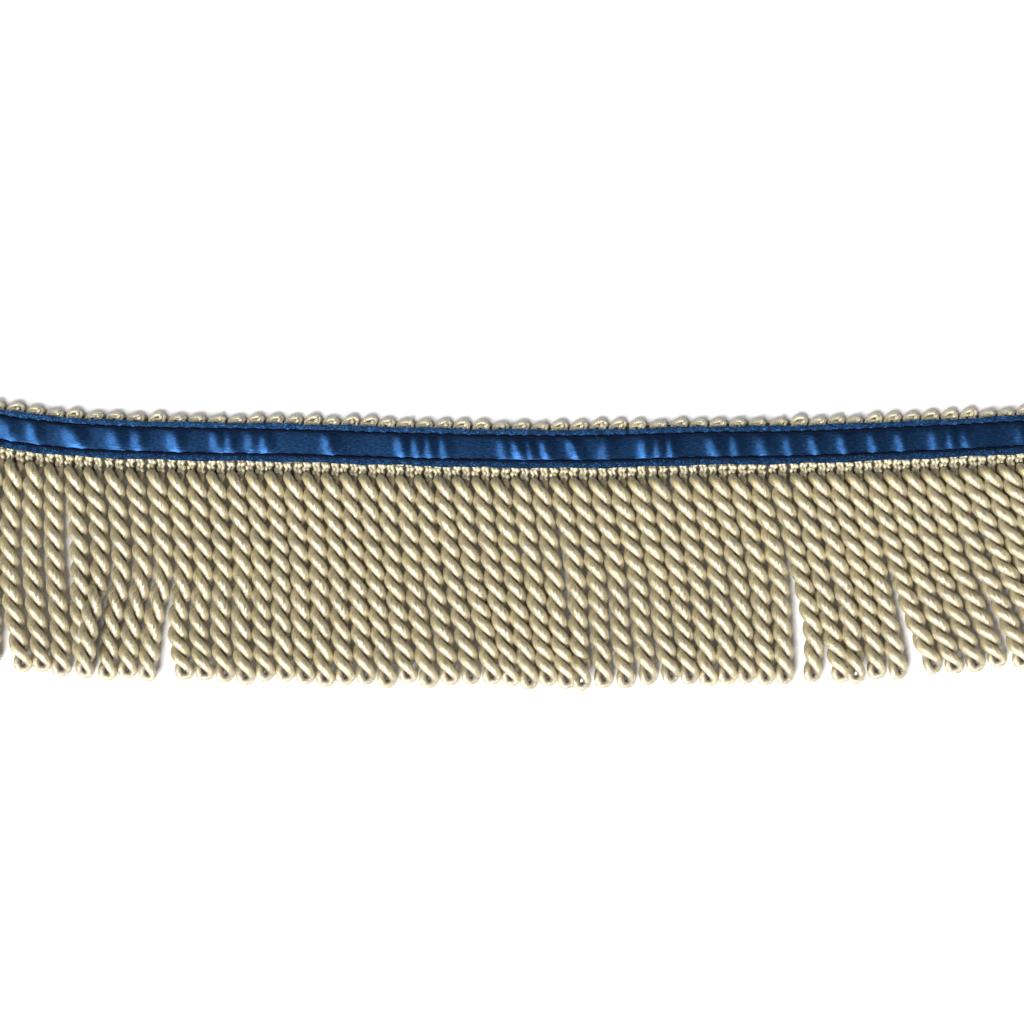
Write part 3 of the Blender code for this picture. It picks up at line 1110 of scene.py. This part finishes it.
class FRINGE_OT_stage(bpy.types.Operator):
    """Set the floor, the soft studio lights and the camera straight above the trim"""

    bl_idname = "fringe.stage"
    bl_label = "Set Stage"

    def execute(self, context):
        settings = context.scene.fringe_stage
        deselect_all()
        bpy.ops.mesh.primitive_plane_add(size=FLOOR_SIZE, location=(0, 0, 0))
        floor = bpy.context.active_object
        floor.name = "studio_floor"
        floor.data.materials.append(floor_finish(settings.floor).material)
        for lamp in LAMPS:
            self.add_lamp(lamp)
        world = bpy.data.worlds.new("studio_air")
        world.use_nodes = True
        air = world.node_tree.nodes["Background"]
        air.inputs["Color"].default_value = rgba(AIR_COLOUR)
        air.inputs["Strength"].default_value = AIR_STRENGTH
        context.scene.world = world
        self.add_camera(context, settings)
        return {"FINISHED"}

    @staticmethod
    def add_lamp(lamp):
        """A far, wide light, so that it falls evenly on the whole length."""
        deselect_all()
        bpy.ops.object.light_add(type="SUN", location=lamp.place)
        light = bpy.context.active_object
        light.name = lamp.name
        light.data.energy = lamp.strength
        light.data.angle = math.radians(lamp.softness)
        light.data.color = lamp.colour
        light.rotation_euler = (-Vector(lamp.place)).to_track_quat("-Z", "Y").to_euler()

    @staticmethod
    def add_camera(context, settings):
        """A camera straight above, as far away as its lens needs for the frame's width."""
        camera = bpy.data.cameras.new("camera")
        camera.lens = settings.lens
        distance = settings.across * settings.lens / camera.sensor_width
        holder = bpy.data.objects.new("camera", camera)
        holder.location = (0.0, FRAME_CENTRE_Y, CORD_LEVEL + distance)
        camera.clip_start = 0.01
        context.scene.collection.objects.link(holder)
        context.scene.camera = holder
        context.scene.view_settings.view_transform = "Standard"


# ---------------------------------------------------------------- add-on


class FRINGE_PT_panel(bpy.types.Panel):
    """Settings and steps of the fringe trim"""

    bl_idname = "FRINGE_PT_panel"
    bl_label = "Bullion Fringe"
    bl_space_type = "VIEW_3D"
    bl_region_type = "UI"
    bl_category = "Fringe"

    def draw(self, context):
        for group in SETTINGS:
            box = self.layout.box()
            settings = getattr(context.scene, group)
            for name in settings.__annotations__:
                box.prop(settings, name)
        for operator in OPERATORS:
            self.layout.operator(operator.bl_idname)


SETTINGS = {
    "fringe_cords": CordSettings,
    "fringe_heading": HeadingSettings,
    "fringe_ribbon": RibbonSettings,
    "fringe_stage": StageSettings,
}
OPERATORS = (FRINGE_OT_heading, FRINGE_OT_ribbon, FRINGE_OT_cords, FRINGE_OT_stage)


def register():
    for group, settings in SETTINGS.items():
        bpy.utils.register_class(settings)
        setattr(bpy.types.Scene, group, PointerProperty(type=settings))
    for operator in OPERATORS:
        bpy.utils.register_class(operator)
    bpy.utils.register_class(FRINGE_PT_panel)


def unregister():
    bpy.utils.unregister_class(FRINGE_PT_panel)
    for operator in reversed(OPERATORS):
        bpy.utils.unregister_class(operator)
    for group, settings in SETTINGS.items():
        delattr(bpy.types.Scene, group)
        bpy.utils.unregister_class(settings)


def main():
    register()
    bpy.ops.fringe.heading()
    bpy.ops.fringe.ribbon()
    bpy.ops.fringe.cords()
    bpy.ops.fringe.stage()


if __name__ == "__main__":
    main()
